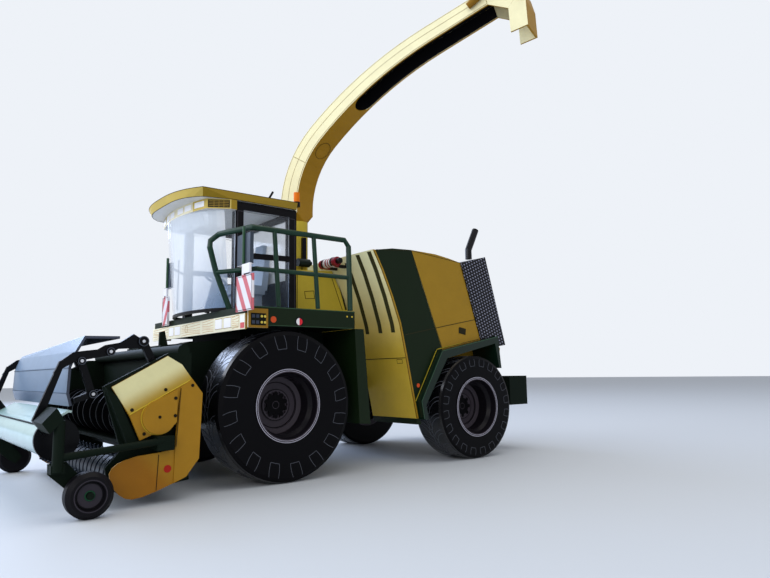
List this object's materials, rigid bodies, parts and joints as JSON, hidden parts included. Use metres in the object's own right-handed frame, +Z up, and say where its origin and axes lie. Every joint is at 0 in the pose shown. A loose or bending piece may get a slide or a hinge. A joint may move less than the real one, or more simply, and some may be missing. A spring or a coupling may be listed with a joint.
{
  "type": "card scale model of a forage harvester",
  "caption": "Card scale model of a self-propelled forage harvester with rolling wheels, a glazed cab, a slewing discharge spout and a pick-up header.",
  "frame": {"origin": "on the table under the middle of the whole box, the spout included", "axes": "+X the driving direction, towards the header; +Y the left side; +Z up"},
  "size_m": [0.2304, 0.1762, 0.1971],
  "materials": {
    "green_card": "printed, satin",
    "yellow_card": "printed, satin",
    "pale_card": "printed, satin",
    "black_card": "printed, satin",
    "tyre_card": "printed black, satin",
    "rim_card": "printed grey, satin",
    "grey_card": "printed, matt",
    "amber_card": "printed, satin",
    "striped_card": "printed, satin",
    "red_card": "printed, satin",
    "brown_card": "printed, satin",
    "dotted_card": "printed with pale dots, satin",
    "mint_card": "printed, glossy",
    "silver_card": "printed, glossy",
    "clear_film": "clear plastic film"
  },
  "bodies": {
    "machine": {"chassis": "green_card", "front_axle": "black_card", "rear_axle": "black_card", "platform": "green_card", "light_strip": "pale_card", "step_panels": "green_card", "cab_frame": "black_card", "cab_windows": "clear_film", "cab_roof": "yellow_card", "roof_lamps": "amber_card", "seat": "grey_card", "steering_column": "black_card", "railing": "green_card", "mirror_left": "striped_card", "mirror_right": "striped_card", "chute": "yellow_card", "extinguisher": "red_card", "body_front": "yellow_card", "body_band": "green_card", "body_rear": "yellow_card", "corner_grilles": "dotted_card", "exhaust": "black_card", "rear_fenders": "green_card", "rear_weight": "green_card", "feeder": "green_card", "header_frame": "green_card", "cover_left": "yellow_card", "cover_right": "yellow_card", "auger": "black_card", "pickup_reel": "black_card", "crop_roller": "mint_card", "crop_hood": "silver_card", "hood_arms": "black_card", "gauge_brackets": "green_card"},
    "wheel_front_left": {"tyre_front_left": "tyre_card", "rim_front_left": "rim_card"},
    "wheel_front_right": {"tyre_front_right": "tyre_card", "rim_front_right": "rim_card"},
    "wheel_rear_left": {"tyre_rear_left": "tyre_card", "rim_rear_left": "rim_card"},
    "wheel_rear_right": {"tyre_rear_right": "tyre_card", "rim_rear_right": "rim_card"},
    "gauge_left": {"gauge_wheel_left": "tyre_card"},
    "gauge_right": {"gauge_wheel_right": "tyre_card"},
    "spout_body": {"spout": "yellow_card", "spout_flap": "pale_card", "flap_cylinder": "brown_card"}
  },
  "joints": [
    {"name": "wheel_front_left_spin", "type": "hinge", "parent": "machine", "child": "wheel_front_left", "pos_m": [0.0308, 0.01392, 0.028], "axis": [0, 1, 0], "continuous": true},
    {"name": "wheel_front_right_spin", "type": "hinge", "parent": "machine", "child": "wheel_front_right", "pos_m": [0.0308, -0.06508, 0.028], "axis": [0, 1, 0], "continuous": true},
    {"name": "wheel_rear_left_spin", "type": "hinge", "parent": "machine", "child": "wheel_rear_left", "pos_m": [-0.0678, 0.01662, 0.0234], "axis": [0, 1, 0], "continuous": true},
    {"name": "wheel_rear_right_spin", "type": "hinge", "parent": "machine", "child": "wheel_rear_right", "pos_m": [-0.0678, -0.06778, 0.0234], "axis": [0, 1, 0], "continuous": true},
    {"name": "gauge_left_spin", "type": "hinge", "parent": "machine", "child": "gauge_left", "pos_m": [0.1021, 0.03412, 0.0065], "axis": [0, 1, 0], "continuous": true},
    {"name": "gauge_right_spin", "type": "hinge", "parent": "machine", "child": "gauge_right", "pos_m": [0.1021, -0.08528, 0.0065], "axis": [0, 1, 0], "continuous": true},
    {"name": "spout_slew", "type": "hinge", "parent": "machine", "child": "spout_body", "pos_m": [-0.0015, -0.02558, 0.115], "axis": [0, 0, 1], "range_deg": [-30, 170]}
  ]
}
